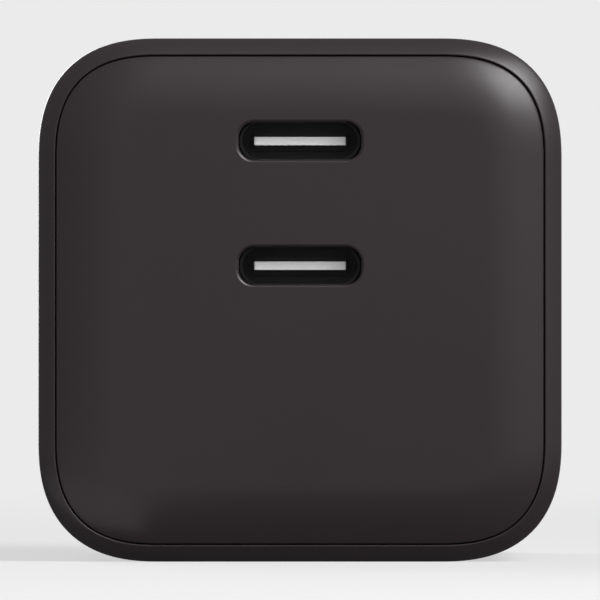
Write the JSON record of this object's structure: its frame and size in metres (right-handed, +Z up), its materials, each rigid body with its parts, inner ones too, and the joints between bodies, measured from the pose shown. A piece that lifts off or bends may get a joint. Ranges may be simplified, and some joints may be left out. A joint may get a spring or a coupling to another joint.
{
  "type": "gan wall charger",
  "caption": "Compact cube wall charger with a softly pillowed front, USB-C sockets one above the other, and a plug whose flat blades fold into the back.",
  "frame": {"origin": "centre of the wall face at the back of the body", "axes": "+Y out of the wall face into the wall, +Z up, so the sockets face -Y and +X is to the right of someone looking at them"},
  "size_m": [0.038, 0.046, 0.038],
  "materials": {
    "body_plastic": "fine spark-eroded texture, satin",
    "panel_plastic": "fine spark-eroded texture, satin",
    "carrier_plastic": "moulded, satin",
    "frame_plastic": "moulded, matt",
    "blade_metal": "nickel-plated brass",
    "spring_bronze": "stamped phosphor bronze",
    "port_steel": "black nickel",
    "port_plastic": "moulded liquid crystal polymer",
    "contact_gold": "gold flash",
    "board_laminate": "solder mask on glass epoxy",
    "heat_sheet": "rolled sheet",
    "insulation_film": "polyester film",
    "thermal_silicone": "soft gap pad",
    "component_case": "moulded case",
    "disc_lacquer": "dipped lacquer",
    "ferrite": "ground ferrite",
    "copper_wire": "enamelled wire and tape",
    "chip_resin": "moulded resin",
    "capacitor_can": "sleeved can"
  },
  "bodies": {
    "body": {"housing": "body_plastic", "front_cover": "panel_plastic", "plug_frame": "frame_plastic", "contact_spring_left": "spring_bronze", "contact_spring_right": "spring_bronze", "upper_port_shell": "port_steel", "upper_port_insulator": "port_plastic", "upper_port_contacts": "contact_gold", "lower_port_shell": "port_steel", "lower_port_insulator": "port_plastic", "lower_port_contacts": "contact_gold", "main_board": "board_laminate", "port_board": "board_laminate", "heat_spreader": "heat_sheet", "insulation_sheet": "insulation_film", "lower_heat_plate": "heat_sheet", "thermal_pad": "thermal_silicone", "fuse": "component_case", "surge_varistor": "disc_lacquer", "inrush_thermistor": "disc_lacquer", "x_capacitor": "component_case", "choke_core": "ferrite", "choke_windings": "copper_wire", "choke_base": "frame_plastic", "bridge_rectifier": "chip_resin", "bulk_capacitor_front": "capacitor_can", "bulk_capacitor_rear": "capacitor_can", "transformer_core_lower": "ferrite", "transformer_core_upper": "ferrite", "transformer_bobbin": "frame_plastic", "transformer_winding": "copper_wire", "gan_switch": "chip_resin", "primary_controller": "chip_resin", "optocoupler": "chip_resin", "y_capacitor": "disc_lacquer", "rectifier_mosfet": "chip_resin", "protocol_controller": "chip_resin", "inductor_left": "ferrite", "inductor_right": "ferrite", "output_capacitor_left": "capacitor_can", "output_capacitor_right": "capacitor_can"},
    "plug": {"blade_left": "blade_metal", "blade_right": "blade_metal", "blade_carrier": "carrier_plastic"}
  },
  "joints": [
    {"name": "blade_fold", "type": "hinge", "parent": "body", "child": "plug", "pos_m": [0, -0.00337, 0.00719], "axis": [1, 0, 0], "range_deg": [0, 90]}
  ]
}
